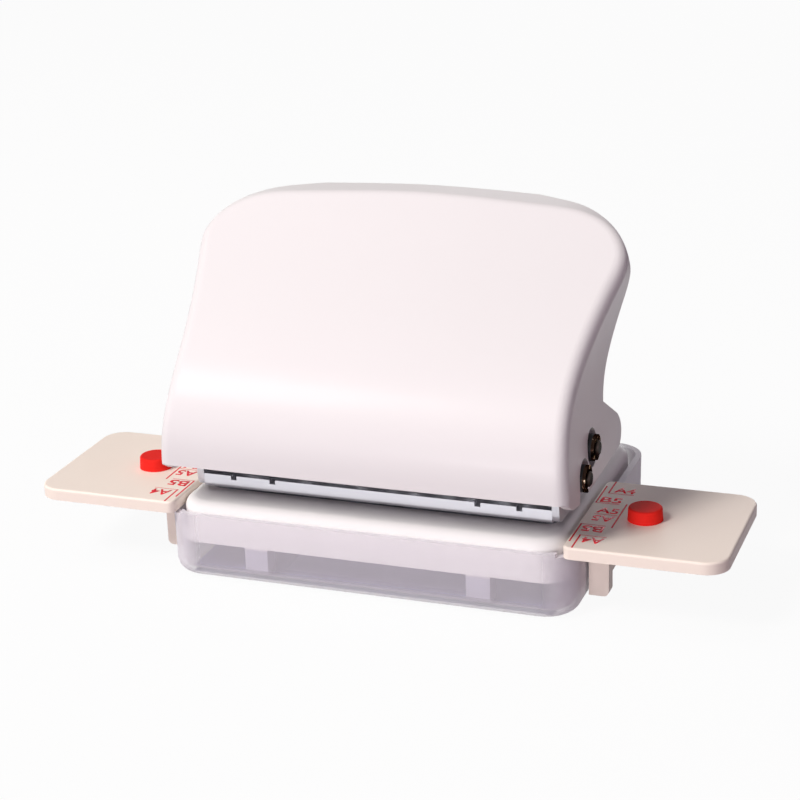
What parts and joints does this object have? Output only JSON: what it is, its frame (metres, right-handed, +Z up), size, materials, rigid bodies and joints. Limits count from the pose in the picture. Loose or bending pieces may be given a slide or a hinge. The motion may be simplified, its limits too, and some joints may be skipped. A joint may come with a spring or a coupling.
{
  "type": "paper hole punch",
  "caption": "Hand lever punch for loose-leaf paper with a row of round punches, clip-in side guides with sprung red pegs and a frosted chip tray as its foot.",
  "frame": {"origin": "on the desk under the middle of the row of punches, on the line of the punches", "axes": "+X to the right as seen by the user, +Y to the back, +Z up"},
  "size_m": [0.1168, 0.0507, 0.0587],
  "materials": {
    "gloss_white": "glossy warm white",
    "white_plastic": "satin white",
    "frosted_plastic": "frosted, see-through",
    "ivory_plastic": "satin ivory",
    "red_plastic": "glossy red",
    "black_plastic": "black",
    "bright_steel": "zinc plated sheet",
    "tool_steel": "ground",
    "spring_steel": "drawn wire",
    "bronzed_steel": "dark bronze"
  },
  "bodies": {
    "base": {"base_body": "white_plastic", "die_plate": "bright_steel", "punch_frame": "bright_steel", "pin_guide_bridge": "bright_steel", "frame_screws": "bright_steel", "pivot_shaft": "bright_steel", "pivot_bush_left": "black_plastic", "pivot_bush_right": "black_plastic", "pivot_clip_left": "bronzed_steel", "pivot_clip_right": "bronzed_steel", "punch_spring_1": "spring_steel", "punch_spring_2": "spring_steel", "punch_spring_3": "spring_steel", "punch_spring_4": "spring_steel", "punch_spring_5": "spring_steel", "punch_spring_6": "spring_steel"},
    "lever": {"lever_cover": "gloss_white", "lever_bracket": "bright_steel", "lever_screws": "bright_steel", "drive_shaft": "bright_steel", "drive_bush_left": "black_plastic", "drive_bush_right": "black_plastic", "drive_clip_left": "bronzed_steel", "drive_clip_right": "bronzed_steel"},
    "punches": {"punch_1": "tool_steel", "punch_2": "tool_steel", "punch_3": "tool_steel", "punch_4": "tool_steel", "punch_5": "tool_steel", "punch_6": "tool_steel"},
    "guide_left": {"guide_left": "ivory_plastic", "peg_cap_left": "ivory_plastic", "peg_spring_left": "spring_steel"},
    "guide_right": {"guide_right": "ivory_plastic", "peg_cap_right": "ivory_plastic", "peg_spring_right": "spring_steel"},
    "peg_left": {"peg_left": "red_plastic"},
    "peg_right": {"peg_right": "red_plastic"},
    "tray": {"chip_tray": "frosted_plastic"}
  },
  "joints": [
    {"name": "lever_press", "type": "hinge", "parent": "base", "child": "lever", "pos_m": [0, -0.0052, 0.0209], "axis": [-1, 0, 0], "range_deg": [0, 13.5]},
    {"name": "punch_stroke", "type": "slide", "parent": "base", "child": "punches", "axis": [0, 0, -1], "range_m": [0, 0.0013], "stiffness_N_per_m": 900, "springref_m": -0.0015, "deforming": ["punch_spring_1", "punch_spring_2", "punch_spring_3", "punch_spring_4", "punch_spring_5", "punch_spring_6"]},
    {"name": "tray_drop", "type": "slide", "parent": "base", "child": "tray", "axis": [0, 0, -1], "range_m": [0, 0.011]},
    {"name": "guide_left_slide", "type": "slide", "parent": "base", "child": "guide_left", "axis": [-1, 0, 0], "range_m": [0, 0.0065]},
    {"name": "peg_left_press", "type": "slide", "parent": "guide_left", "child": "peg_left", "axis": [0, 0, -1], "range_m": [0, 0.002], "stiffness_N_per_m": 400, "springref_m": -0.0005, "deforming": ["peg_spring_left"]},
    {"name": "guide_right_slide", "type": "slide", "parent": "base", "child": "guide_right", "axis": [1, 0, 0], "range_m": [0, 0.0065]},
    {"name": "peg_right_press", "type": "slide", "parent": "guide_right", "child": "peg_right", "axis": [0, 0, -1], "range_m": [0, 0.002], "stiffness_N_per_m": 400, "springref_m": -0.0005, "deforming": ["peg_spring_right"]}
  ],
  "couplings": [
    {"joint": "lever_press", "follows": "punch_stroke", "rad_per_m": 180.9}
  ]
}
